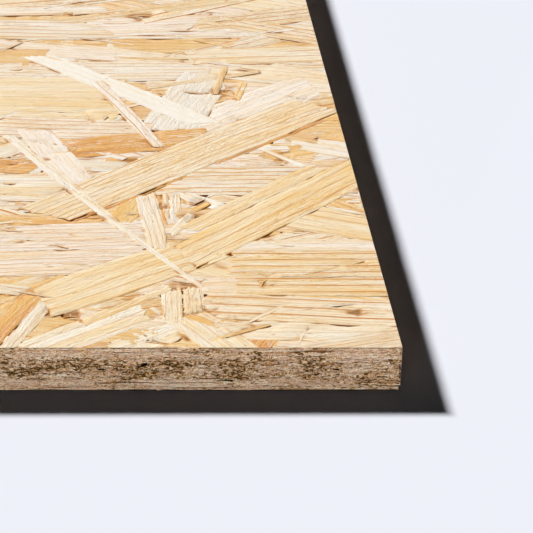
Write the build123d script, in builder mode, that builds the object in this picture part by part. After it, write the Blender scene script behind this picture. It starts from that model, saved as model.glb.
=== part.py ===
from build123d import *
import os

# Oriented strand board panel: one pressed board of wood strands, sawn square from a full sheet.
# It lies flat. The underside is on Z = 0 and the origin is under the middle of the board.
# X runs along the long side, the way that most of the strands in the two face layers point.

# Driving dimensions, in millimetres
board_length = 1220.0
board_width = 610.0
board_thickness = 18.0

# Narrow flats where the saw and handling have broken the sharp edges
face_arris = 0.4
corner_arris = 0.6

os.makedirs("parts", exist_ok=True)

with BuildPart() as osb_panel:
    # Sawn outline, with the arris on its four upright corners
    with BuildSketch(Plane.XY) as outline:
        Rectangle(board_length, board_width)
        chamfer(outline.vertices(), length=corner_arris)
    extrude(amount=board_thickness)
    # Arris round the top face and round the underside
    face_edges = osb_panel.faces().filter_by(Axis.Z).edges()
    chamfer(face_edges, length=face_arris)

osb_panel.part.label = "osb_panel"
export_step(osb_panel.part, "parts/osb_panel.step")
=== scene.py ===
import math
import bpy
from mathutils import Matrix, Vector


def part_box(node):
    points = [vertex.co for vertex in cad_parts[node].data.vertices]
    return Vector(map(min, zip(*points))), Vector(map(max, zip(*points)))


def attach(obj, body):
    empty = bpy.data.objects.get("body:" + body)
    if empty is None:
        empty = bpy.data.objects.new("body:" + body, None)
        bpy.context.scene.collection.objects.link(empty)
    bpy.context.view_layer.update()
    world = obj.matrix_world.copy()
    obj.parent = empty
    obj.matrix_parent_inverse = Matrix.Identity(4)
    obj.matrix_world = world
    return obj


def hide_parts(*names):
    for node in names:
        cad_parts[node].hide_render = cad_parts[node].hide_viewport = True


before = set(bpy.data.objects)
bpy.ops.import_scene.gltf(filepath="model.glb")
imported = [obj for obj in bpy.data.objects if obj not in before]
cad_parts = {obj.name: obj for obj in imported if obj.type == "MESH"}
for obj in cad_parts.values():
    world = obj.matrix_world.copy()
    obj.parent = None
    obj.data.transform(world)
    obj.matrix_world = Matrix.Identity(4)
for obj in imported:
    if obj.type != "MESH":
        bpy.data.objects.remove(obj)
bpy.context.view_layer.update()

MM = 0.001

# The board, from its CAD solid
NODE = "osb_panel"
LOW, HIGH = (Vector(corner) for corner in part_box(NODE))
BOARD = HIGH - LOW
CORNER = Vector((HIGH.x, LOW.y, HIGH.z))

# Camera, lamps and floor, placed from the board's right front corner. The bounce lamp stands in
# for a reflector that lights the sawn front, and lights nothing at second hand.
CAMERA_FROM_CORNER = Vector((-0.203, -1.386, 0.654))
CAMERA_TURN = 6.18
CAMERA_DIP = 24.0
CAMERA_ROLL = 2.63
CAMERA_LENS = 277.0
KEY_WAY = Vector((-17.0, 21.0, 18.0))
KEY_SPREAD = 7.0
KEY_LEVEL = 5.7
BOUNCE_WAY = Vector((-3.0, -10.0, 0.12))
BOUNCE_SPREAD = 1.5
BOUNCE_LEVEL = 2.15
FILL_LEVEL = 0.013
LAMP_DISTANCE = 3.0
LAMP_BOUNCES = 12
FLOOR_COLOUR = (236, 238, 246)
ROOM_COLOUR = (238, 240, 247)
FLOOR_REACH = 60.0
SIGHT_REACH = 100.0

# Strand colour, as a place on one scale from bleached sapwood to resin brown
WHITE, CREAM, STRAW, HONEY, AMBER, BROWN = 0.0, 0.2, 0.4, 0.6, 0.8, 1.0

# Strands of the photographed corner, topmost first. Each end is millimetres to the left of the
# corner and back from the front edge. Then come the width, the colour, how strong the growth
# rings are, their pitch, how far the ends are cut off square, and the cast from grey to pink.
LAID_BY_HAND = (
    ((70, 51), (118, 150), 2.6, WHITE + 0.12, 0.2, 2.0, 0.0, 0.0),
    ((100, 112), (142, 209), 5.5, CREAM - 0.05, 0.5, 2.2, 0.2, 0.0),
    ((79, 197), (101, 271), 6.0, CREAM - 0.1, 0.7, 3.4, 0.2, 0.5),
    ((130, 125.5), (8, 244.2), 25.0, STRAW - 0.09, 0.75, 2.9, -0.25, -0.1),
    ((118, 119.5), (70, 166.5), 2.8, BROWN - 0.1, 0.3, 3.0, 0.3, 0.0),
    ((57, 179), (6, 228.5), 2.4, BROWN - 0.15, 0.3, 3.0, 0.3, 0.0),
    ((57, 223), (126, 301), 13.5, WHITE, 0.1, 5.0, 0.6, 0.1),
    ((73, 111), (15, 175), 9.0, STRAW, 0.3, 4.0, -0.3, 0.0),
    ((51, 257), (44, 290), 3.0, HONEY, 0.3, 3.0, 0.0, -0.7),
    ((36, 195), (20, 176), 3.2, WHITE + 0.05, 0.1, 3.0, 0.4, 0.0),
    ((42, 251), (37, 272), 3.6, HONEY - 0.08, 0.5, 3.0, 0.9, 0.0),
    ((86, 92), (88, 151), 8.5, CREAM - 0.02, 0.5, 2.4, 0.3, 0.4),
    ((80, 106), (70.5, 126), 4.4, CREAM - 0.06, 0.3, 3.0, 0.2, 0.4),
    ((84, 142), (81.5, 116), 1.7, AMBER - 0.05, 0.3, 2.0, 0.2, 0.0),
    ((81, 122), (80, 147), 2.6, CREAM, 0.8, 1.8, 0.4, -0.2),
    ((78.5, 120), (77.5, 146), 2.4, WHITE + 0.1, 0.6, 1.8, 0.4, -0.3),
    ((76, 123), (75, 147), 2.6, CREAM + 0.04, 0.9, 1.8, 0.4, -0.2),
    ((69.5, 130), (63, 138), 3.6, HONEY + 0.1, 0.2, 3.0, 0.5, 0.0),
    ((73, 147), (56, 131), 8.0, WHITE + 0.08, 0.2, 3.0, 0.2, 0.1),
    ((76, 84), (-6, 176), 22.0, STRAW, 0.5, 6.5, 0.5, 0.0),
    ((119, 22), (84, 55), 5.0, STRAW, 0.5, 2.4, 0.4, -0.2),
    ((134, 40), (62, 97), 27.0, STRAW - 0.03, 0.35, 7.0, 0.4, 0.0),
    ((131, 215), (112, 150), 15.0, WHITE + 0.12, 0.05, 6.0, 0.3, 1.0),
    ((80, 264), (29, 284), 4.0, STRAW - 0.04, 0.4, 3.0, 0.2, -0.8),
    ((120, 193), (58, 209), 20.0, AMBER - 0.02, 1.0, 1.8, 0.2, 0.0),
    ((58.5, 78), (-12, 77), 25.0, STRAW - 0.02, 1.0, 5.6, 0.1, 0.0),
    ((58, 56), (-12, 55), 17.0, STRAW, 1.0, 6.5, 0.1, 0.0),
    ((157, 0), (136, 51), 8.5, AMBER - 0.05, 0.3, 4.0, 0.3, 0.1),
    ((151, -4), (130, 47), 7.5, CREAM, 0.4, 4.0, 0.2, -0.6),
    ((85, 23), (83.5, 56), 8.0, CREAM, 0.45, 2.2, 0.3, -0.1),
    ((76, 31), (75.5, 55), 8.0, CREAM + 0.12, 0.7, 2.6, -0.3, -0.2),
    ((79, 29), (67, 18.5), 4.2, HONEY + 0.12, 0.3, 4.0, 0.3, 0.0),
    ((85, 38), (60, -9), 19.0, CREAM + 0.03, 0.3, 6.0, 0.2, 0.0),
    ((50, -9), (-10, 11), 15.0, CREAM + 0.1, 0.7, 3.0, 0.5, -0.9),
    ((74, 39), (-10, 29), 24.0, STRAW - 0.1, 0.8, 7.5, 0.2, 0.1),
    ((64, 16), (-10, 13), 17.0, CREAM + 0.06, 0.2, 6.0, 0.1, 0.1),
    ((60, -8), (49, 14), 11.0, AMBER + 0.06, 0.9, 3.0, 0.3, 0.3),
    ((110, -5), (84, 16), 15.0, CREAM, 0.2, 5.0, 0.5, 0.0),
    ((142, -6), (96, 34), 19.0, STRAW - 0.15, 0.35, 6.0, 0.4, 0.0),
    ((122, 31), (88, 20), 14.0, STRAW - 0.1, 0.5, 4.0, 0.2, 0.3),
    ((160, 100), (90, 106), 25.0, CREAM - 0.08, 0.6, 3.2, 0.3, 0.9),
    ((160, 77), (96, 82), 27.0, CREAM - 0.02, 0.6, 3.6, 0.5, 0.8),
    ((156, 178), (131, 174), 16.0, AMBER, 1.0, 3.0, 0.4, 0.0),
    ((152, 219), (82, 214), 22.0, CREAM - 0.02, 0.8, 4.6, 0.1, 0.5),
    ((158, 239), (92, 236), 27.0, STRAW - 0.02, 0.2, 6.0, 0.4, 0.0),
    ((158, 262), (92, 262), 26.0, STRAW - 0.1, 0.2, 6.0, 0.3, 0.1),
    ((76, 212), (53, 277), 24.0, CREAM - 0.12, 0.25, 2.6, 0.3, -0.65),
    ((70, 212), (8, 268), 24.0, WHITE + 0.1, 0.25, 4.0, 0.4, 0.6),
    ((92, 160), (-8, 163), 30.0, CREAM + 0.03, 1.0, 4.6, 0.2, 0.0),
    ((152, 121), (108, 118), 9.0, HONEY, 0.5, 4.0, 0.3, 0.2),
    ((101, 117), (91, 141), 11.0, AMBER - 0.12, 0.2, 5.0, 0.2, 0.0),
    ((158, 152), (104, 154), 28.0, CREAM, 0.3, 6.0, 0.2, 0.1),
    ((48, 134), (-10, 108), 26.0, STRAW - 0.06, 0.5, 5.0, 0.3, 0.0),
)

# Where the strands of that corner are torn into chunks and curls, in the same way
TORN_BY_HAND = (
    (79, 134), (70, 43), (66, 34), (60, 19), (59, 82), (47, 64), (100, 9),
    (93, 187), (122, 29), (93, 46), (62, 215), (48, 264), (103, 226), (12, 30), (92, 147),
    (38, 8),
)

# Scattered strands: real sizes, and how many layers of them lie over each other
FIELD_LAYERS = 64
FIELD_STRANDS = 28.0
FIELD_SPACING = 30 * MM
FIELD_STRETCH = 4.0
STRAND_LENGTH = (60 * MM, 150 * MM)
STRAND_WIDTH = (9 * MM, 30 * MM)
STRAND_TURN = math.radians(50)
RING_PITCH = (2.2 * MM, 7 * MM)
UNDERLAY_SPACING = (40 * MM, 14 * MM)
UNDERLAY_LAYERS_DOWN = 60.0
HAND_LAID_TAPER = 0.12
SEED_STEP = 2.37
HAND_LAID_STEPS = (41, 14)
STRAND_STEPS = (21, 6)

# Slivers: splinters and fines between the strands, thicker where the face is torn
SLIVERS = 140000.0
SLIVERS_KEPT = 0.011
SLIVER_LAYERS = 12
SLIVER_LENGTH = (6 * MM, 42 * MM)
SLIVER_WIDTH = (0.5 * MM, 2.6 * MM)
SLIVER_STEPS = (6, 2)
SLIVER_WALL = 0.6 * MM
TORN_REACH = 6 * MM
TORN_DEPTH = 1.1 * MM

# How the strands are pressed into each other
PRESS_GAP = (0.02 * MM, 0.55 * MM)
PRESS_OPENS = (0.49, 0.68)
PRESS_REACH = 4.5 * MM
SIDE_CALM = 5 * MM
LAYER_DROP = 0.001 * MM
STRAND_WALL = 0.9 * MM
NOT_HIDDEN_PAST = 0.01 * MM
END_SPLINTERS = 5 * MM
END_FRAY = 2.2
SIDE_WAVER = 2.2 * MM
UNDULATION = 0.12 * MM
SHARP_BEND = 0.7
FAR_OFF = (50.0, 0.0, 0.0)

# Numbers that only the trees need, left off the finished pieces
HELPERS = ("blank", "centre", "length", "width", "turn", "slant", "taper", "seed", "bend", "order",
           "hidden", "beyond", "upright", "torn", "sunk", "height", "depth", "tilt", "row", "id")

# How each face is cut into pieces, so that none grows too large
FACE_PARTS = (4, 2)
BED_DEPTH = 1.8 * MM
BED_THICKNESS = 3 * MM
BED_INSET = 1.0 * MM
MAP_MARGIN = 10 * MM

# Sawn edges: rows of strand sections, long ones under the faces and short ones in the middle
LONG_EDGE_PARTS = 6
SHORT_EDGE_PARTS = 3
SECTION_ROW = 0.62 * MM
SECTION_HEIGHT = (0.85 * MM, 1.3 * MM)
FACE_ZONE = 4.4 * MM
LONG_SECTION = 26 * MM
SHORT_SECTION = 5.5 * MM
SECTION_DEPTH = (0.03 * MM, 0.38 * MM)
SECTION_WALL = 0.5 * MM
SECTION_WAVE = 1.7 * MM
SECTIONS_MISSING = 0.07
SECTIONS_TO_FACE = 0.4 * MM
SECTIONS_TO_END = 0.05 * MM
MAP_ROWS = 3.0
EDGE_BED_DEPTH = 0.6 * MM
EDGE_BED_TO_FACE = 0.9 * MM
NO_AREA = 1e-9


class Wire:
    """A number on its way through a node tree. Arithmetic on it adds Math nodes."""

    def __init__(self, sheet, socket):
        self.sheet = sheet
        self.socket = socket

    def __add__(self, other):
        return self.sheet.math("ADD", self, other)

    def __sub__(self, other):
        return self.sheet.math("SUBTRACT", self, other)

    def __rsub__(self, other):
        return self.sheet.math("SUBTRACT", other, self)

    def __mul__(self, other):
        return self.sheet.math("MULTIPLY", self, other)

    def __truediv__(self, other):
        return self.sheet.math("DIVIDE", self, other)

    def __pow__(self, other):
        return self.sheet.math("POWER", self, other)

    def __lt__(self, other):
        return self.sheet.math("LESS_THAN", self, other)

    def __gt__(self, other):
        return self.sheet.math("GREATER_THAN", self, other)

    def __abs__(self):
        return self.sheet.math("ABSOLUTE", self)

    __radd__ = __add__
    __rmul__ = __mul__


class Sheet:
    """A node tree being drawn up, for geometry or for a material."""

    def __init__(self, tree):
        self.tree = tree

    def put(self, kind, wires=None, **settings):
        node = self.tree.nodes.new(kind)
        for name, value in settings.items():
            setattr(node, name, value)
        for key, value in (wires or {}).items():
            self.join(value, node.inputs[key])
        return node

    def join(self, value, socket):
        if isinstance(value, Wire):
            value = value.socket
        if isinstance(value, bpy.types.NodeSocket):
            self.tree.links.new(value, socket)
        elif value is not None:
            socket.default_value = int(value) if socket.type == "INT" else value

    def math(self, operation, *values):
        node = self.put("ShaderNodeMath", dict(enumerate(values)), operation=operation)
        return Wire(self, node.outputs[0])

    def smaller(self, first, second):
        return self.math("MINIMUM", first, second)

    def larger(self, first, second):
        return self.math("MAXIMUM", first, second)

    def vector(self, x, y, z):
        return self.put("ShaderNodeCombineXYZ", {0: x, 1: y, 2: z}).outputs[0]

    def split(self, vector):
        node = self.put("ShaderNodeSeparateXYZ", {0: vector})
        return [Wire(self, socket) for socket in node.outputs]

    def noise(self, place, scale=1.0, detail=2.0, rough=0.5):
        wires = {"Vector": place, "Scale": scale, "Detail": detail, "Roughness": rough}
        return Wire(self, self.put("ShaderNodeTexNoise", wires).outputs[0])

    def ramp(self, value, start, end, low=0.0, high=1.0, kind="SMOOTHSTEP"):
        wires = {0: value, 1: start, 2: end, 3: low, 4: high}
        node = self.put("ShaderNodeMapRange", wires, interpolation_type=kind)
        return Wire(self, node.outputs[0])


class Maker(Sheet):
    """A geometry tree with named inputs."""

    def __init__(self, name, inputs, outputs):
        super().__init__(bpy.data.node_groups.new(name, "GeometryNodeTree"))
        for title, kind in inputs:
            self.tree.interface.new_socket(title, in_out="INPUT", socket_type="NodeSocket" + kind)
        for title in outputs:
            self.tree.interface.new_socket(title, in_out="OUTPUT", socket_type="NodeSocketGeometry")
        self.given = self.put("NodeGroupInput").outputs
        self.result = self.put("NodeGroupOutput").inputs

    def value(self, title):
        return Wire(self, self.given[title])

    def finish(self, **geometries):
        for title, geometry in geometries.items():
            self.join(geometry, self.result[title])
        return self.tree

    def named(self, name, kind="FLOAT"):
        node = self.put("GeometryNodeInputNamedAttribute", {"Name": name}, data_type=kind)
        return node.outputs[0] if kind == "FLOAT_VECTOR" else Wire(self, node.outputs[0])

    def store(self, geometry, name, value, kind="FLOAT", domain="POINT"):
        wires = {"Geometry": geometry, "Name": name, "Value": value}
        return self.put("GeometryNodeStoreNamedAttribute", wires, data_type=kind, domain=domain).outputs[0]

    def chance(self, low, high, seed):
        node = self.put("FunctionNodeRandomValue", {2: low, 3: high, "Seed": seed}, data_type="FLOAT")
        return Wire(self, node.outputs[1])

    def place(self, geometry, position):
        return self.put("GeometryNodeSetPosition", {"Geometry": geometry, "Position": position}).outputs[0]

    def position(self):
        return self.put("GeometryNodeInputPosition").outputs[0]

    def merge(self, *geometries):
        node = self.put("GeometryNodeJoinGeometry")
        for geometry in reversed(geometries):
            self.join(geometry, node.inputs[0])
        return node.outputs[0]

    def keep(self, geometry, chosen, domain="POINT"):
        wires = {"Geometry": geometry, "Selection": chosen}
        return self.put("GeometryNodeSeparateGeometry", wires, domain=domain).outputs[0]

    def delete(self, geometry, chosen, domain="FACE"):
        wires = {"Geometry": geometry, "Selection": chosen}
        return self.put("GeometryNodeDeleteGeometry", wires, domain=domain).outputs[0]

    def distance(self, geometry, element):
        node = self.put("GeometryNodeProximity", {0: geometry}, target_element=element)
        return Wire(self, node.outputs["Distance"])

    def coated(self, geometry, finish):
        wires = {"Geometry": geometry, "Material": self.given[finish]}
        return self.put("GeometryNodeSetMaterial", wires).outputs[0]

    def moved(self, geometry, **wires):
        return self.put("GeometryNodeTransform", {"Geometry": geometry, **wires}).outputs[0]

    def block(self, size, middle):
        cube = self.put("GeometryNodeMeshCube", {"Size": size}).outputs["Mesh"]
        return self.moved(cube, Translation=middle)

    def on_outline(self):
        """True for the edges that belong to one face only."""
        return Wire(self, self.put("GeometryNodeInputMeshEdgeNeighbors").outputs[0]) < 1.5

    def walls(self, geometry, rim, offset):
        """Walls pulled out from some edges, marked so that the finishes can tell them."""
        wires = {"Mesh": geometry, "Selection": rim, "Offset": offset, "Offset Scale": 1.0}
        made = self.put("GeometryNodeExtrudeMesh", wires, mode="EDGES").outputs
        geometry = self.store(made["Mesh"], "wall", made["Top"])
        return self.store(geometry, "upright", made["Side"], "BOOLEAN", "FACE")

    def draws(self, seed):
        """A function that draws a random number for each dot, each call another one."""

        def draw(number, low=0.0, high=1.0):
            return self.chance(low, high, seed + number)

        return draw

    def store_all(self, geometry, numbers):
        for name, number in numbers.items():
            geometry = self.store(geometry, name, number)
        return geometry

    def group(self, tree, **wires):
        node = self.put("GeometryNodeGroup", node_tree=tree)
        for title, value in wires.items():
            self.join(value, node.inputs[title.replace("_", " ")])
        return node.outputs


# Every tree that lays strands takes these from the face that it lays
LAYING_INPUTS = (
    ("Centres", "Geometry"),
    ("Above", "Geometry"),
    ("Outlines above", "Geometry"),
    ("Layer", "Float"),
    ("Steps along", "Int"),
    ("Steps across", "Int"),
    ("Wall", "Float"),
    ("Board length", "Float"),
    ("Board width", "Float"),
    ("Board thickness", "Float"),
)


def laying_tree():
    """Presses one layer of strands under the outlines of all that was laid above it."""
    m = Maker("lay_strands", LAYING_INPUTS, ("Strands", "Footprint", "Outlines"))
    laid = strand_outlines(m, blanks(m))
    laid = trimmed(m, laid)
    outlines = m.keep(laid, m.on_outline(), "EDGE")

    # How far each point is from what lies above: less than nothing where that covers it
    covered = m.distance(m.given["Above"], "FACES")
    to_outline = m.distance(m.given["Outlines above"], "EDGES")
    laid = m.store(laid, "hidden", covered < NOT_HIDDEN_PAST, "BOOLEAN")
    hidden = m.named("hidden", "BOOLEAN")
    laid = m.store(laid, "clear", covered - to_outline * hidden)
    laid = m.delete(laid, hidden)
    footprint = laid
    laid = walled(m, pressed(m, laid))
    return m.finish(Strands=laid, Footprint=footprint, Outlines=outlines)


def blanks(m):
    """One flat blank at every centre, which keeps that strand's own numbers."""
    grid = {"Size X": 1.0, "Size Y": 1.0, "Vertices X": m.value("Steps along"),
            "Vertices Y": m.value("Steps across")}
    blank = m.put("GeometryNodeMeshGrid", grid).outputs[0]
    blank = m.store(blank, "blank", m.position(), "FLOAT_VECTOR")
    centres = m.store(m.given["Centres"], "centre", m.position(), "FLOAT_VECTOR")
    laid = m.put("GeometryNodeInstanceOnPoints", {"Points": centres, "Instance": blank}).outputs[0]
    return m.put("GeometryNodeRealizeInstances", {"Geometry": laid}).outputs[0]


def strand_outlines(m, laid):
    """Frayed and slanted ends, wavering sides, and how far each point is inside them."""
    step_u, step_v, unused = m.split(m.named("blank", "FLOAT_VECTOR"))
    length, width, turn = [m.named(name) for name in ("length", "width", "turn")]
    slant, taper, seed = [m.named(name) for name in ("slant", "taper", "seed")]
    near_end = m.math("SINE", step_u * math.pi)
    step_u = (step_u + near_end * 0.5) * 0.5
    at_end = abs(near_end) ** (6.0 - taper * 3.5)
    fray = (m.noise(m.vector(step_v * 9.0, m.math("SIGN", step_u) * 3.0, seed * 7.0), detail=4.0,
                    rough=0.8) - 0.5) * END_FRAY
    fray = fray * m.ramp(width, 1 * MM, 9 * MM, 0.0, END_SPLINTERS)
    waver = m.noise(m.vector(step_u * length * 45.0, step_v * 2.5, seed * 5.0), detail=5.0, rough=0.65) - 0.5
    waver = waver * m.smaller(width * 0.4, SIDE_WAVER)
    along = step_u * length + at_end * (slant * step_v * width + fray)
    across = step_v * width * (1.0 - at_end * taper) + waver + step_u * step_u * m.named("bend")
    cosine, sine = m.math("COSINE", turn), m.math("SINE", turn)
    centre_x, centre_y, unused = m.split(m.named("centre", "FLOAT_VECTOR"))
    x = centre_x + along * cosine - across * sine
    y = centre_y + along * sine + across * cosine
    inside = m.smaller((0.5 - abs(step_u)) * length, (0.5 - abs(step_v)) * width)
    laid = m.store(laid, "inside", inside)
    return m.place(laid, m.vector(x, y, 0.0))


def trimmed(m, laid):
    """Cut off by the saw at the board's four sides, with each point's own place in its strand."""
    x, y, unused = m.split(m.position())
    half_x, half_y = m.value("Board length") * 0.5, m.value("Board width") * 0.5
    beyond = m.larger(abs(x) - half_x, abs(y) - half_y) > 0.0
    laid = m.store(laid, "sawn", beyond)
    laid = m.store(laid, "beyond", beyond, "BOOLEAN")
    laid = m.delete(laid, m.named("beyond", "BOOLEAN"))
    x = m.smaller(m.larger(x, half_x * -1.0), half_x)
    y = m.smaller(m.larger(y, half_y * -1.0), half_y)
    laid = m.place(laid, m.vector(x, y, 0.0))

    turn, seed = m.named("turn"), m.named("seed")
    cosine, sine = m.math("COSINE", turn), m.math("SINE", turn)
    centre_x, centre_y, unused = m.split(m.named("centre", "FLOAT_VECTOR"))
    x, y, unused = m.split(m.position())
    x, y = x - centre_x, y - centre_y
    grain = m.vector(x * cosine + y * sine, y * cosine - x * sine, seed)
    return m.store(laid, "grain", grain, "FLOAT_VECTOR")


def pressed(m, laid):
    """Bent under the edges above, mostly flush with them and here and there well below."""
    x, y, unused = m.split(m.position())
    to_side = m.smaller(m.value("Board length") * 0.5 - abs(x), m.value("Board width") * 0.5 - abs(y))
    loose = m.noise(m.vector(x * 75.0, y * 75.0, 0.0), detail=3.0, rough=0.6)
    laid = m.store(laid, "open", m.ramp(loose, *PRESS_OPENS))
    gap = m.ramp(loose, *PRESS_OPENS, *PRESS_GAP) * m.ramp(to_side, 0.0, SIDE_CALM, 0.3, 1.0)
    dip = m.ramp(m.named("clear"), 0.0, (loose + 0.5) * PRESS_REACH, gap, 0.0)
    uneven = m.noise(m.vector(x * 25.0, y * 25.0, 3.0), detail=1.0) * UNDULATION
    z = m.value("Board thickness") - dip - uneven - m.value("Layer") * LAYER_DROP - m.named("sunk")
    return m.place(laid, m.vector(x, y, z))


def walled(m, laid):
    """The strand's thickness, as a wall down from its visible outline."""
    rim = m.put("FunctionNodeBooleanMath", {0: m.on_outline(), 1: m.named("hidden", "BOOLEAN")},
                operation="NIMPLY").outputs[0]
    return m.walls(laid, rim, m.vector(0.0, 0.0, m.value("Wall") * -1.0))


def scatter_tree():
    """Scatters the centres of one layer of strands, with the numbers that make each its own."""
    m = Maker("scatter_strands", (("Seed", "Float"), ("Share", "Float"), ("Board length", "Float"),
                                  ("Board width", "Float")), ("Centres",))
    seed = m.value("Seed")
    beyond = STRAND_LENGTH[0]
    grid = {"Size X": (m.value("Board length") + beyond) / FIELD_STRETCH,
            "Size Y": m.value("Board width") + STRAND_WIDTH[0], "Vertices X": 2, "Vertices Y": 2}
    ground = m.put("GeometryNodeMeshGrid", grid).outputs[0]
    wires = {"Mesh": ground, "Distance Min": FIELD_SPACING, "Density Factor": m.value("Share"),
             "Density Max": FIELD_STRANDS * FIELD_STRETCH, "Seed": seed}
    dots = m.put("GeometryNodeDistributePointsOnFaces", wires, distribute_method="POISSON").outputs[0]
    x, y, z = m.split(m.position())
    dots = m.place(dots, m.vector(x * FIELD_STRETCH, y, z))

    draw = m.draws(seed * 17.0)
    numbers = {
        "length": STRAND_LENGTH[0] + (STRAND_LENGTH[1] - STRAND_LENGTH[0]) * draw(2) ** 0.7,
        "width": draw(3, *STRAND_WIDTH),
        "turn": (draw(4) + draw(5) - 1.0) * STRAND_TURN,
        "slant": draw(6, -0.5, 0.5),
        "taper": draw(12, 0.1, 0.3),
        "bend": draw(13, -5.0, 5.0) * MM,
        "seed": draw(7, 0.0, 90.0),
        "tone": draw(1) ** 3.0 * 0.6 + draw(8, 0.05, 0.3),
        "rings": draw(9, 0.1, 1.0),
        "pitch": draw(10, *RING_PITCH),
        "cast": draw(11, -0.8, 0.9),
    }
    return m.finish(Centres=m.store_all(dots, numbers))


def sliver_tree():
    """Scatters slivers over the whole face, thickest and most tumbled where it is torn."""
    m = Maker("scatter_slivers", (("Torn", "Geometry"), ("Seed", "Float"), ("First layer", "Float"),
                                  ("Layers", "Float"), ("Board length", "Float"),
                                  ("Board width", "Float")), ("Centres",))
    seed = m.value("Seed")
    draw = m.draws(seed * 31.0)
    grid = {"Size X": m.value("Board length"), "Size Y": m.value("Board width"), "Vertices X": 2,
            "Vertices Y": 2}
    ground = m.put("GeometryNodeMeshGrid", grid).outputs[0]
    wires = {"Mesh": ground, "Density": SLIVERS, "Seed": seed}
    dots = m.put("GeometryNodeDistributePointsOnFaces", wires, distribute_method="RANDOM").outputs[0]
    x, y, unused = m.split(m.position())
    by_hand = m.ramp(m.distance(m.given["Torn"], "POINTS"), TORN_REACH * 0.4, TORN_REACH, 1.0, 0.0)
    patches = m.ramp(m.noise(m.vector(x * 22.0, y * 30.0, seed)), 0.66, 0.74)
    dots = m.store(dots, "torn", m.larger(by_hand, patches))
    torn = m.named("torn")
    dots = m.keep(dots, draw(1) < torn + SLIVERS_KEPT)
    numbers = {
        "length": (SLIVER_LENGTH[0] + (SLIVER_LENGTH[1] - SLIVER_LENGTH[0]) * draw(2) ** 2.5)
                  * (1.0 - torn * 0.45),
        "width": draw(3, *SLIVER_WIDTH) * (1.0 - torn * 0.45),
        "turn": (draw(4) + draw(5) - 1.0) * (torn * 1.2 + STRAND_TURN),
        "slant": 0.0,
        "taper": draw(6, 0.6, 0.95),
        "bend": draw(12, -10.0, 10.0) * MM * (torn + 0.3),
        "seed": draw(7, 0.0, 90.0),
        "tone": draw(8) ** 2.0 * 0.6 + 0.03,
        "rings": 0.3,
        "pitch": 2 * MM,
        "cast": draw(11, -0.7, 0.7),
        "sunk": torn * draw(10) * TORN_DEPTH,
        "order": m.math("FLOOR", m.value("First layer") + draw(9) * m.value("Layers") * (1.0 - torn * 0.6)),
    }
    return m.finish(Centres=m.store_all(dots, numbers))


FACE_INPUTS = (
    ("Points", "Geometry"),
    ("Board length", "Float"),
    ("Board width", "Float"),
    ("Board thickness", "Float"),
    ("Laid by hand", "Int"),
    ("Layers", "Int"),
    ("Seed", "Float"),
)


def face_tree(laying, scattering, slivering):
    """One face of the board: the listed strands, then layer after layer of scattered ones."""
    m = Maker("strand_face", FACE_INPUTS, ("Face",))
    points, by_hand = m.given["Points"], m.value("Laid by hand")
    board = {name: m.value(name) for name in ("Board length", "Board width")}
    whole_board = dict(board, Board_thickness=m.value("Board thickness"))

    # A far-off speck, so that the first strand has something to measure from
    speck = m.put("GeometryNodeMeshGrid", {"Size X": MM, "Size Y": MM, "Vertices X": 2, "Vertices Y": 2})
    speck = m.place(speck.outputs[0], FAR_OFF)
    torn = m.merge(speck, m.keep(points, m.named("order") < -0.5))
    slivers = m.group(slivering, Torn=torn, Seed=m.value("Seed"), First_layer=m.smaller(by_hand, 3.0),
                      Layers=by_hand * 0.8 + SLIVER_LAYERS, **board)["Centres"]

    start, end = loop(m, by_hand + m.value("Layers"), Strands=None, Footprint=speck, Outlines=speck)
    turn = Wire(m, start.outputs["Iteration"])
    hand_turn = turn + 0.5 < by_hand
    hand_laid = m.keep(points, m.math("COMPARE", m.named("order"), turn, 0.1))
    scattered = m.group(scattering, Seed=m.value("Seed") * 100.0 + turn, Share=1.0 - hand_turn, **board)
    slivers = m.keep(slivers, m.math("COMPARE", m.named("order"), turn, 0.1))
    steps = [STRAND_STEPS[i] + hand_turn * (HAND_LAID_STEPS[i] - STRAND_STEPS[i]) for i in (0, 1)]
    above = {name: start.outputs[name] for name in ("Strands", "Footprint", "Outlines")}
    for centres, layer_steps, wall in (
            (m.merge(hand_laid, scattered["Centres"]), steps, STRAND_WALL),
            (slivers, SLIVER_STEPS, SLIVER_WALL)):
        laid = m.group(laying, Centres=centres, Above=above["Footprint"], Outlines_above=above["Outlines"],
                       Layer=turn, Steps_along=layer_steps[0], Steps_across=layer_steps[1], Wall=wall,
                       **whole_board)
        above = {name: m.merge(laid[name], above[name]) for name in above}
    for name, geometry in above.items():
        m.join(geometry, end.inputs[name])

    # Last of all an even bed of strands, so that no gap goes deep
    even = underlay(m, m.value("Seed"), *board.values())
    last = m.group(laying, Centres=even, Above=end.outputs["Footprint"],
                   Outlines_above=end.outputs["Outlines"], Wall=STRAND_WALL,
                   Layer=by_hand + m.value("Layers") + UNDERLAY_LAYERS_DOWN,
                   Steps_along=STRAND_STEPS[0], Steps_across=STRAND_STEPS[1], **whole_board)
    face = m.merge(last["Strands"], end.outputs["Strands"])
    bend = Wire(m, m.put("GeometryNodeInputMeshEdgeAngle").outputs[0])
    face = m.store(face, "sharp_edge", bend > SHARP_BEND, "BOOLEAN", "EDGE")
    face = m.put("GeometryNodeSetShadeSmooth", {"Geometry": face, "Shade Smooth": True}).outputs[0]
    return m.finish(Face=m.put("GeometryNodeRealizeInstances", {"Geometry": face}).outputs[0])


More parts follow.
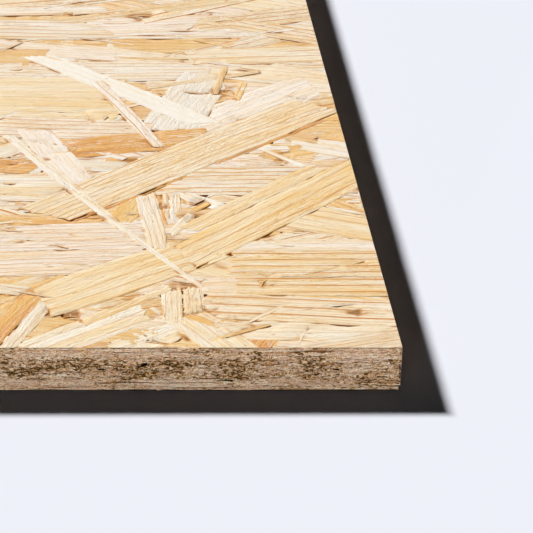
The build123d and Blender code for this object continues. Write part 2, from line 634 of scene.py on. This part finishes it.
def underlay(m, seed, board_length, board_width):
    """Centres in slightly uneven rows, near enough to each other to leave hardly any gap."""
    draw = m.draws(seed * 41.0)
    step_x, step_y = UNDERLAY_SPACING
    grid = {"Size X": board_length, "Size Y": board_width, "Vertices X": board_length / step_x,
            "Vertices Y": board_width / step_y}
    dots = m.put("GeometryNodeMeshGrid", grid).outputs[0]
    dots = m.put("GeometryNodeMeshToPoints", {"Mesh": dots}).outputs[0]
    x, y, unused = m.split(m.position())
    dots = m.place(dots, m.vector(x + draw(1, -0.3, 0.3) * step_x, y + draw(2, -0.2, 0.2) * step_y, 0.0))
    numbers = {
        "length": draw(3, 1.4, 2.0) * step_x,
        "width": draw(4, 1.3, 1.8) * step_y,
        "turn": draw(5, -0.12, 0.12),
        "taper": 0.1,
        "seed": draw(6, 0.0, 90.0),
        "tone": draw(7, 0.2, 0.8),
        "rings": draw(8, 0.2, 1.0),
        "pitch": draw(9, *RING_PITCH),
        "cast": draw(10, -0.5, 0.5),
    }
    return m.store_all(dots, numbers)


def loop(m, turns, **geometries):
    """Opens a repeat zone that carries geometries, and gives its start and its end."""
    start = m.tree.nodes.new("GeometryNodeRepeatInput")
    end = m.tree.nodes.new("GeometryNodeRepeatOutput")
    start.pair_with_output(end)
    end.repeat_items.clear()
    for title in geometries:
        end.repeat_items.new("GEOMETRY", title)
    m.join(turns, start.inputs["Iterations"])
    for title, geometry in geometries.items():
        m.join(geometry, start.inputs[title])
    return start, end


def part_tree():
    """Cuts one part out of a face, beds it on a closed slab and lays its map."""
    m = Maker("face_part", (("Face", "Geometry"), ("Left", "Float"), ("Right", "Float"), ("Front", "Float"),
                            ("Back", "Float"), ("Board thickness", "Float"), ("Turned over", "Float"),
                            ("Strand finish", "Material"), ("Bed finish", "Material")), ("Part",))
    left, right, front, back = [m.value(name) for name in ("Left", "Right", "Front", "Back")]
    x, y, z = m.split(m.position())
    inside = m.larger(m.larger(left - x, x - right), m.larger(front - y, y - back)) < 0.0
    face = m.keep(m.given["Face"], inside, "FACE")
    bed = slab(m, left, right, front, back, m.value("Board thickness") - BED_DEPTH)
    part = m.merge(m.coated(bed, "Bed finish"), m.coated(face, "Strand finish"))

    u = (x - left + MAP_MARGIN) / (right - left + 2.0 * MAP_MARGIN)
    v = (y - front + MAP_MARGIN) / (back - front + 2.0 * MAP_MARGIN)
    upright = m.named("upright", "BOOLEAN")
    v = v * 0.96 * (1.0 - upright) + (0.97 + m.named("wall") * 0.02) * upright
    part = m.store(part, "OFBake", m.vector(u, v, 0.0), "FLOAT2", "CORNER")
    over = m.value("Turned over")
    lift = m.vector(0.0, 0.0, m.value("Board thickness") * over)
    return m.finish(Part=m.moved(part, Translation=lift, Rotation=m.vector(over * math.pi, 0.0, 0.0)))


def slab(m, left, right, front, back, top):
    """A closed block under one part, inset from the sawn sides."""
    size = m.vector(right - left - 2.0 * BED_INSET, back - front - 2.0 * BED_INSET, BED_THICKNESS)
    return m.block(size, m.vector((left + right) * 0.5, (front + back) * 0.5, top - BED_THICKNESS / 2))


def section_tree():
    """One sawn edge, lying along X and facing the front: sections of strands in wavy rows."""
    m = Maker("sawn_sections", (("Length", "Float"), ("Reach", "Float"), ("Board thickness", "Float"),
                                ("Faces cut along", "Float"), ("Seed", "Float")), ("Edge",))
    length, high, seed = m.value("Length"), m.value("Board thickness"), m.value("Seed")
    along = m.value("Faces cut along")
    zones = (
        section_rows(m, FACE_ZONE * 0.5, FACE_ZONE, along, seed + 1.0),
        section_rows(m, high * 0.5, high - 2.0 * FACE_ZONE, 1.0 - along, seed + 2.0),
        section_rows(m, high - FACE_ZONE * 0.5, FACE_ZONE, along, seed + 3.0),
    )
    blank = m.put("GeometryNodeMeshGrid", {"Size X": 1.0, "Size Y": 1.0, "Vertices X": 6, "Vertices Y": 2})
    blank = m.store(blank.outputs[0], "blank", m.position(), "FLOAT_VECTOR")
    dots = m.merge(*zones)
    dots = m.store(dots, "centre", m.position(), "FLOAT_VECTOR")
    cut = m.put("GeometryNodeInstanceOnPoints", {"Points": dots, "Instance": blank}).outputs[0]
    cut = m.put("GeometryNodeRealizeInstances", {"Geometry": cut}).outputs[0]

    u, v, unused = m.split(m.named("blank", "FLOAT_VECTOR"))
    x, unused, z = m.split(m.named("centre", "FLOAT_VECTOR"))
    ends = abs(u * 2.0) ** 3.0
    x = x + u * m.named("length") + v * ends * 0.4 * MM
    z = z + v * m.named("height") * (1.0 - ends * 0.8)
    to_face = m.smaller(z, high - z)
    wave = m.noise(m.vector(x * 55.0, seed, z * 260.0), detail=2.0) - 0.5
    z = z + wave * m.ramp(to_face, 0.8 * MM, 3.5 * MM, 0.12, 1.0) * (2.0 * SECTION_WAVE)
    z = m.smaller(m.larger(z, SECTIONS_TO_FACE), high - SECTIONS_TO_FACE)
    half = length * 0.5 - SECTIONS_TO_END
    x = m.smaller(m.larger(x, half * -1.0), half)
    y = m.named("depth") + u * m.named("tilt") - m.value("Reach")
    cut = m.place(cut, m.vector(x, m.larger(y, SECTION_DEPTH[0] - m.value("Reach")), z))
    x, unused, z = m.split(m.position())
    cut = m.store(cut, "grain", m.vector(x, z, m.named("seed")), "FLOAT_VECTOR")

    return m.finish(Edge=m.walls(cut, m.on_outline(), m.vector(0.0, SECTION_WALL, 0.0)))


def section_rows(m, middle, height, along, seed):
    """Rows of dots over one zone of the edge, each dot with the numbers of its section."""
    draw = m.draws(seed * 13.0)
    spacing = LONG_SECTION * along + SHORT_SECTION * (1.0 - along)
    across = m.value("Length") + spacing
    grid = {"Size X": across, "Size Y": height, "Vertices X": across / spacing + 1.0,
            "Vertices Y": height / SECTION_ROW + 1.0}
    dots = m.put("GeometryNodeMeshGrid", grid).outputs[0]
    dots = m.put("GeometryNodeMeshToPoints", {"Mesh": dots}).outputs[0]
    dots = m.keep(dots, draw(1) > (1.0 - along) * SECTIONS_MISSING)
    x, y, unused = m.split(m.position())
    x = x + draw(2, -0.5, 0.5) * spacing
    z = middle + y + draw(3, -0.4, 0.4) * SECTION_ROW
    dots = m.place(dots, m.vector(x, 0.0, z))
    numbers = {
        "length": spacing * draw(4, 1.0, 2.2),
        "height": draw(5, *SECTION_HEIGHT),
        "depth": draw(6) ** 2.0 * (SECTION_DEPTH[1] - SECTION_DEPTH[0]) + SECTION_DEPTH[0],
        "tilt": draw(7, -0.15, 0.15) * MM,
        "seed": draw(8, 0.0, 90.0),
        "tone": draw(9),
        "end_grain": 1.0 - along,
    }
    dots = m.store_all(dots, numbers)
    x, unused, unused = m.split(m.position())
    return m.keep(dots, abs(x) - m.named("length") * 0.45 < m.value("Length") * 0.5)


def edge_part_tree():
    """Cuts one part out of a sawn edge, beds it on a closed slab, lays its map and turns it."""
    m = Maker("edge_part", (("Edge", "Geometry"), ("Length", "Float"), ("Left", "Float"),
                            ("Right", "Float"), ("Reach", "Float"), ("Board thickness", "Float"),
                            ("Turn", "Float"), ("Sawn finish", "Material"), ("Bed finish", "Material")),
              ("Part",))
    left, right, reach, high = [m.value(name) for name in ("Left", "Right", "Reach", "Board thickness")]
    x, y, z = m.split(m.position())
    part = m.keep(m.given["Edge"], m.larger(left - x, x - right) < 0.0, "FACE")
    area = Wire(m, m.put("GeometryNodeInputMeshFaceArea").outputs[0])
    part = m.delete(part, area < NO_AREA)
    part = m.coated(part, "Sawn finish")
    half = m.value("Length") * 0.5 - BED_DEPTH
    bed_left, bed_right = m.larger(left, half * -1.0), m.smaller(right, half)
    size = m.vector(bed_right - bed_left, BED_THICKNESS, high - 2.0 * EDGE_BED_TO_FACE)
    middle = m.vector((bed_left + bed_right) * 0.5, EDGE_BED_DEPTH + BED_THICKNESS / 2 - reach, high * 0.5)
    part = m.merge(m.coated(m.block(size, middle), "Bed finish"), part)

    # The map lays the part in three rows, each with a strip for the small walls
    third = (right - left) / MAP_ROWS
    row = m.smaller(m.larger(m.math("FLOOR", (x - left) / third), 0.0), MAP_ROWS - 1.0)
    part = m.store(part, "row", row, "FLOAT", "FACE")
    upright = m.named("upright", "BOOLEAN")
    u = ((x - left) / third - m.named("row")) * 0.9 + 0.05
    v = (z / high * 0.84 + 0.04) * (1.0 - upright) + (0.92 + m.named("wall") * 0.04) * upright
    part = m.store(part, "OFBake", m.vector(u, (v + m.named("row")) / MAP_ROWS, 0.0), "FLOAT2", "CORNER")
    return m.finish(Part=m.moved(part, Rotation=m.vector(0.0, 0.0, m.value("Turn"))))


def corner_points():
    """Loose points: the listed strands' centres with their numbers, and the torn places."""
    names = ("order", "length", "width", "turn", "slant", "taper", "seed", "tone", "rings", "pitch", "cast")
    places, numbers = [], []
    for order, (start, end, width, tone, rings, pitch, slant, cast) in enumerate(LAID_BY_HAND):
        start, end = from_corner(start), from_corner(end)
        run = end - start if end.x > start.x else start - end
        places.append((start + end) / 2)
        turn = math.atan2(run.y, run.x)
        numbers.append((order, run.length, width * MM, turn, slant, HAND_LAID_TAPER, order * SEED_STEP,
                        tone, rings, pitch * MM, cast))
    for place in TORN_BY_HAND:
        places.append(from_corner(place))
        numbers.append((-1,) + (0,) * (len(names) - 1))
    mesh = bpy.data.meshes.new("corner_points")
    mesh.from_pydata(places, [], [])
    for name, values in zip(names, zip(*numbers)):
        mesh.attributes.new(name, "FLOAT", "POINT").data.foreach_set("value", values)
    return mesh


def from_corner(place):
    left, back = place
    return Vector((CORNER.x - left * MM, CORNER.y + back * MM, 0.0))


def grown(mesh, tree, **inputs):
    """The plain mesh that a geometry tree makes of a mesh."""
    source = bpy.data.objects.new("source", mesh)
    bpy.context.collection.objects.link(source)
    modifier = source.modifiers.new("grow", "NODES")
    modifier.node_group = tree
    sockets = {item.name: item for item in tree.interface.items_tree if item.in_out == "INPUT"}
    for title, value in inputs.items():
        modifier[sockets[title.replace("_", " ")].identifier] = value
    graph = bpy.context.evaluated_depsgraph_get()
    result = bpy.data.meshes.new_from_object(source.evaluated_get(graph))
    bpy.data.objects.remove(source)
    return result


def keep(name, mesh):
    """Makes a mesh a piece that stands for the board and rides with it."""
    mesh.name = name
    for helper in HELPERS:
        if helper in mesh.attributes:
            mesh.attributes.remove(mesh.attributes[helper])
    piece = bpy.data.objects.new(name, mesh)
    bpy.context.collection.objects.link(piece)
    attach(piece, "root")
    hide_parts(NODE)


class Finish(Sheet):
    """A material, with the principled shader's own sockets for what is the same all over."""

    def __init__(self, name, **sockets):
        self.material = bpy.data.materials.new(name)
        self.material.use_nodes = True
        super().__init__(self.material.node_tree)
        self.shader = self.tree.nodes["Principled BSDF"]
        for title, value in sockets.items():
            self.shader.inputs[title.replace("_", " ")].default_value = value

    def number(self, name):
        return Wire(self, self.put("ShaderNodeAttribute", attribute_name=name).outputs["Fac"])

    def triple(self, name):
        return self.split(self.put("ShaderNodeAttribute", attribute_name=name).outputs["Vector"])

    def object_place(self):
        return self.split(self.put("ShaderNodeTexCoord").outputs["Object"])

    def colours(self, value, *stops):
        node = self.put("ShaderNodeValToRGB", {0: value})
        elements = node.color_ramp.elements
        while len(elements) < len(stops):
            elements.new(0.5)
        for element, (place, colour) in zip(elements, stops):
            element.position = place
            element.color = linear(colour)
        return node.outputs[0]

    def blend(self, first, second, share):
        node = self.put("ShaderNodeMix", data_type="RGBA")
        self.join(share, node.inputs["Factor"])
        for value, socket in zip((first, second), node.inputs[6:8]):
            self.join(linear(value) if isinstance(value, tuple) else value, socket)
        return node.outputs[2]

    def finish(self, colour, height, strength=1.0):
        """Wires up the colour, and a relief whose height is in millimetres."""
        self.join(colour, self.shader.inputs["Base Color"])
        relief = self.put("ShaderNodeBump", {"Height": height, "Distance": MM, "Strength": strength})
        self.join(relief.outputs[0], self.shader.inputs["Normal"])
        return self.material


def linear(colour):
    """A colour as it is seen on a screen, 0 to 255, turned into what the shader works in."""
    parts = [part / 255 for part in colour]
    parts = [part / 12.92 if part <= 0.04045 else ((part + 0.055) / 1.055) ** 2.4 for part in parts]
    return (*parts, 1.0)


def strand_finish():
    """Softwood strand: fibres and growth rings along the grain, with painted shade in the open gaps."""
    f = Finish("pressed_strand", Roughness=0.7, Specular_IOR_Level=0.2)
    along, across, seed = f.triple("grain")
    along, across = along * 1000.0, across * 1000.0
    tone, rings, cast, wall, sawn = [f.number(name) for name in ("tone", "rings", "cast", "wall", "sawn")]
    clear, inside, pitch = [f.number(name) * 1000.0 for name in ("clear", "inside", "pitch")]

    # Growth rings: each darkens slowly and ends in a thin dark line, and fine lines run between
    drift = f.noise(f.vector(along * 0.012, across * 0.05, seed * 3.0)) - 0.5
    arch = f.noise(f.vector(seed * 17.0, 0.0, 0.0), detail=0.0) - 0.5
    place = (across + drift * 7.0 + along * along * arch * 0.003) / pitch + seed
    late = ring_lines(f, place, pitch, pitch * 0.23, along, seed) * rings
    fine = ring_lines(f, place * 3.1 + drift * 2.0, pitch / 3.1, pitch * 0.13, along, seed + 5.0)
    dusk = f.ramp(f.math("FRACT", place), 0.2, 1.0) * rings

    # Fibres and dashes, stronger in some parts of a strand than in others, and honey patches
    fibre = f.noise(f.vector(along * 0.09, across * 0.7, seed * 11.0), detail=4.0, rough=0.8) - 0.5
    dash = f.noise(f.vector(along * 0.45, across * 1.4, seed * 2.0), detail=4.0, rough=0.8) - 0.5
    patch = f.noise(f.vector(along * 0.02, across * 0.09, seed * 23.0)) + 0.1
    blotch = f.noise(f.vector(along * 0.025, across * 0.18, seed * 13.0), detail=3.0) - 0.5
    grit = (fibre + dash * 0.7) * f.ramp(patch, 0.42, 0.75, 0.5, 1.5) * (rings * 0.8 + 0.4)
    wood = f.colours(tone + blotch * 0.75 - 0.035,
                     (0.0, (255, 248, 233)), (0.17, (252, 235, 203)), (0.34, (249, 221, 171)),
                     (0.5, (246, 207, 139)), (0.67, (241, 188, 105)), (0.84, (227, 156, 74)),
                     (1.0, (178, 116, 56)))
    wood = f.blend(wood, (214, 200, 186), f.ramp(cast, 0.0, -1.0, 0.0, 0.3, "LINEAR"))
    wood = f.blend(wood, (250, 214, 198), f.ramp(cast, 0.0, 1.0, 0.0, 0.25, "LINEAR"))
    wood = f.blend(wood, (243, 190, 108), dusk * 0.25)
    wood = f.blend(wood, (255, 248, 232), f.ramp(grit, 0.0, -0.3, 0.0, 0.85, "LINEAR"))
    wood = f.blend(wood, (206, 148, 76), f.ramp(grit, 0.03, 0.3, 0.0, 0.85, "LINEAR"))
    wood = f.blend(wood, (206, 130, 42), late + fine * (rings * 0.25 + 0.1))

    # Along the open seams, where a strand runs under another: painted warm shade and a dark crevice line
    gap = f.number("open")
    edge = f.ramp(clear, -0.5, -0.1)
    seam_warm_shade = f.ramp(clear, 1.1, 0.1) * edge * f.ramp(gap, 0.0, 0.4)
    crevice_shade = f.ramp(clear, 0.6, 0.1) * edge * f.ramp(gap, 0.2, 0.7)
    # A golden band at the strand's own rim beside an open seam
    rim = f.ramp(inside, 1.3, 0.1) * f.ramp(gap, 0.0, 0.4)
    pits = f.noise(f.vector(along * 0.2, across * 0.8, seed * 19.0), detail=3.0)
    wood = f.blend(wood, (218, 158, 80), rim * 0.5)
    wood = f.blend(wood, (208, 140, 58), seam_warm_shade * 0.75)
    # Dark brown line in the open crevices: painted shade
    wood = f.blend(wood, (128, 76, 20), crevice_shade * 0.7)
    wood = f.blend(wood, (142, 92, 40), f.ramp(pits, 0.69, 0.77) * 0.75)
    # The strands' walls turn orange below their rim: painted shade down the crevice walls
    wood = f.blend(wood, (230, 162, 74), f.ramp(wall, 0.0, 0.5) * (1.0 - sawn))
    wood = f.blend(wood, (214, 176, 138), f.ramp(wall, 0.0, 0.1) * sawn)
    height = fibre * 0.55 + dash * 0.38 + blotch * 0.2 - late * 0.05
    height = height + f.ramp(inside, 0.0, 0.9) * 0.06 + f.ramp(clear, 0.0, 1.2) * 0.08
    return f.finish(wood, height, 0.9)


def ring_lines(f, place, pitch, width, along, seed):
    """Lines along the grain, one to each whole number of place, that come and go on their way."""
    short_of = (1.0 - f.math("FRACT", place)) * pitch
    strength = f.noise(f.vector(f.math("FLOOR", place) * 7.7, along * 0.025, seed * 5.0))
    return f.ramp(short_of, width, width * 0.3) * f.ramp(short_of, 0.0, 0.12) * f.ramp(strength, 0.3, 0.5)


def sawn_finish():
    """Strands cut by the saw: streaks where it ran along them, pores where it ran across."""
    f = Finish("sawn_edge", Roughness=0.85, Specular_IOR_Level=0.15)
    x, z, seed = f.triple("grain")
    x, z = x * 1000.0, z * 1000.0
    end_grain, tone, wall = [f.number(name) for name in ("end_grain", "tone", "wall")]
    z = z + (f.noise(f.vector(x * 0.3, z * 0.5, 11.0), detail=2.0) - 0.5) * (end_grain * 2.5 + 1.0)
    streak = f.noise(f.vector(x * 0.5, z * 2.5, seed), detail=4.0, rough=0.8) - 0.5
    pores = f.noise(f.vector(x * 1.2, z * 1.8, seed), detail=4.0, rough=0.9) - 0.5
    grit = f.noise(f.vector(x * 1.2, z * 2.6, seed + 4.0), detail=3.0, rough=0.8) - 0.5
    rough = streak + (pores - streak) * (end_grain * 0.7 + 0.2) + grit * 0.7
    damp = f.noise(f.vector(x * 0.12, z * 0.5, 3.0), detail=3.0)
    crowd = f.noise(f.vector(x * 0.05, z * 0.15, 7.0)) * 0.5 + end_grain * 0.05 - 0.29
    wood = f.colours(tone * 0.35 + 0.41 + rough * 3.3, (0.05, (116, 74, 40)), (0.28, (208, 160, 116)),
                     (0.5, (248, 204, 162)), (0.75, (255, 231, 198)), (1.0, (255, 248, 228)))
    wood = f.blend(wood, (188, 160, 148), f.ramp(damp, 0.45, 0.65) * 0.35)
    rosy = f.noise(f.vector(x * 0.3, z * 1.6, 19.0))
    wood = f.blend(wood, (208, 148, 128), f.ramp(rosy, 0.52, 0.66) * 0.6)
    resin_and_pit_shade = f.noise(f.vector(x * 0.5, z * 1.15, seed + 9.0), detail=3.0, rough=0.75) + crowd
    wood = f.blend(wood, (206, 150, 64), f.ramp(resin_and_pit_shade, 0.48, 0.56) * 0.8)
    # Dark olive spots, also sunk in the relief: painted shade of the pits
    wood = f.blend(wood, (88, 58, 20), f.ramp(resin_and_pit_shade, 0.56, 0.61) * 0.95)
    # The sections' walls darken towards their back: painted shade in the gaps between sections
    wood = f.blend(wood, (110, 76, 44), f.ramp(wall, 0.0, 1.0))
    return f.finish(wood, rough * 0.8 - f.ramp(resin_and_pit_shade, 0.54, 0.66) * 0.6, 0.9)


def bed_finish():
    """The bed that shows at the bottom of the gaps, its dark browns painted shade of the deep gaps."""
    f = Finish("glued_bed", Roughness=0.8)
    x, y, z = f.object_place()
    streaks = f.noise(f.vector(x * 300.0, y * 800.0, z * 800.0), detail=4.0, rough=0.7)
    wood = f.colours(streaks, (0.3, (84, 54, 26)), (0.5, (156, 106, 58)), (0.7, (208, 158, 100)))
    return f.finish(wood, streaks * 0.5)


def floor_finish():
    f = Finish("floor", Roughness=1.0, Specular_IOR_Level=0.0)
    f.shader.inputs["Base Color"].default_value = linear(FLOOR_COLOUR)
    return f.material


def add_camera():
    data = bpy.data.cameras.new("camera")
    data.lens = CAMERA_LENS
    data.clip_end = SIGHT_REACH
    camera = bpy.data.objects.new("camera", data)
    bpy.context.collection.objects.link(camera)
    turns = ((-CAMERA_TURN, "Z"), (90.0 - CAMERA_DIP, "X"), (CAMERA_ROLL, "Z"))
    aim = Matrix.Identity(4)
    for degrees, axis in turns:
        aim = aim @ Matrix.Rotation(math.radians(degrees), 4, axis)
    camera.matrix_world = Matrix.Translation(CORNER + CAMERA_FROM_CORNER) @ aim
    bpy.context.scene.camera = camera


def add_lamp(name, way, spread, level, bounces):
    data = bpy.data.lights.new(name, "SUN")
    data.energy = level
    data.angle = math.radians(spread)
    data.cycles.max_bounces = bounces
    lamp = bpy.data.objects.new(name, data)
    lamp.rotation_euler = way.to_track_quat("Z", "Y").to_euler()
    lamp.location = CORNER + way.normalized() * LAMP_DISTANCE
    bpy.context.collection.objects.link(lamp)


def add_room():
    """A pale room that the camera and reflections see, and that hardly lights anything."""
    world = bpy.data.worlds.new("room")
    world.use_nodes = True
    sheet = Sheet(world.node_tree)
    shader = world.node_tree.nodes["Background"]
    path = sheet.put("ShaderNodeLightPath")
    seen = sheet.larger(path.outputs["Is Camera Ray"], path.outputs["Is Glossy Ray"])
    sheet.join(seen * (1.0 - FILL_LEVEL) + FILL_LEVEL, shader.inputs["Strength"])
    shader.inputs["Color"].default_value = linear(ROOM_COLOUR)
    bpy.context.scene.world = world


def add_floor():
    mesh = bpy.data.meshes.new("floor")
    reach = FLOOR_REACH
    mesh.from_pydata([(-reach, -reach, 0), (reach, -reach, 0), (reach, reach, 0), (-reach, reach, 0)], [],
                     [(0, 1, 2, 3)])
    mesh.materials.append(floor_finish())
    floor = bpy.data.objects.new("floor", mesh)
    bpy.context.collection.objects.link(floor)


def add_face(name, points, by_hand, seed, trees, finishes, turned_over):
    """Grows one face of the board and keeps it as several pieces."""
    whole, part = trees
    size = {"Board_length": BOARD.x, "Board_width": BOARD.y, "Board_thickness": BOARD.z}
    face = grown(points, whole, Laid_by_hand=by_hand, Layers=FIELD_LAYERS, Seed=seed, **size)
    across, deep = FACE_PARTS
    for number in range(across * deep):
        left = LOW.x + BOARD.x * (number % across) / across
        front = LOW.y + BOARD.y * (number // across) / deep
        mesh = grown(face.copy(), part, Left=left, Right=left + BOARD.x / across, Front=front,
                     Back=front + BOARD.y / deep, Board_thickness=BOARD.z, Turned_over=turned_over,
                     Strand_finish=finishes[0], Bed_finish=finishes[1])
        keep(f"{name}_{number + 1}", mesh)


def add_edge(name, length, reach, turn, parts, cut_along, seed, trees, finishes):
    """Grows one sawn edge and keeps it as several pieces."""
    whole, part = trees
    start = bpy.data.meshes.new("start")
    edge = grown(start, whole, Length=length, Reach=reach, Board_thickness=BOARD.z, Seed=seed,
                 Faces_cut_along=cut_along)
    for number in range(parts):
        left = length * (number / parts - 0.5)
        mesh = grown(edge.copy(), part, Length=length, Left=left, Right=left + length / parts, Reach=reach,
                     Board_thickness=BOARD.z, Turn=math.radians(turn), Sawn_finish=finishes[0],
                     Bed_finish=finishes[1])
        keep(f"{name}_{number + 1}", mesh)


bpy.context.scene.view_settings.view_transform = "Standard"
add_camera()
add_lamp("key_lamp", KEY_WAY, KEY_SPREAD, KEY_LEVEL, bounces=LAMP_BOUNCES)
add_lamp("bounce_lamp", BOUNCE_WAY, BOUNCE_SPREAD, BOUNCE_LEVEL, bounces=0)
add_room()
add_floor()

bed = bed_finish()
strands = strand_finish(), bed
face_trees = face_tree(laying_tree(), scatter_tree(), sliver_tree()), part_tree()
add_face("top_face", corner_points(), len(LAID_BY_HAND), 1.0, face_trees, strands, 0.0)
add_face("bottom_face", bpy.data.meshes.new("no_points"), 0, 2.0, face_trees, strands, 1.0)

sawn = sawn_finish(), bed
edge_trees = section_tree(), edge_part_tree()
add_edge("front_edge", BOARD.x, BOARD.y / 2, 0.0, LONG_EDGE_PARTS, 1.0, 1.0, edge_trees, sawn)
add_edge("right_edge", BOARD.y, BOARD.x / 2, 90.0, SHORT_EDGE_PARTS, 0.0, 2.0, edge_trees, sawn)
add_edge("back_edge", BOARD.x, BOARD.y / 2, 180.0, LONG_EDGE_PARTS, 1.0, 3.0, edge_trees, sawn)
add_edge("left_edge", BOARD.y, BOARD.x / 2, 270.0, SHORT_EDGE_PARTS, 0.0, 4.0, edge_trees, sawn)
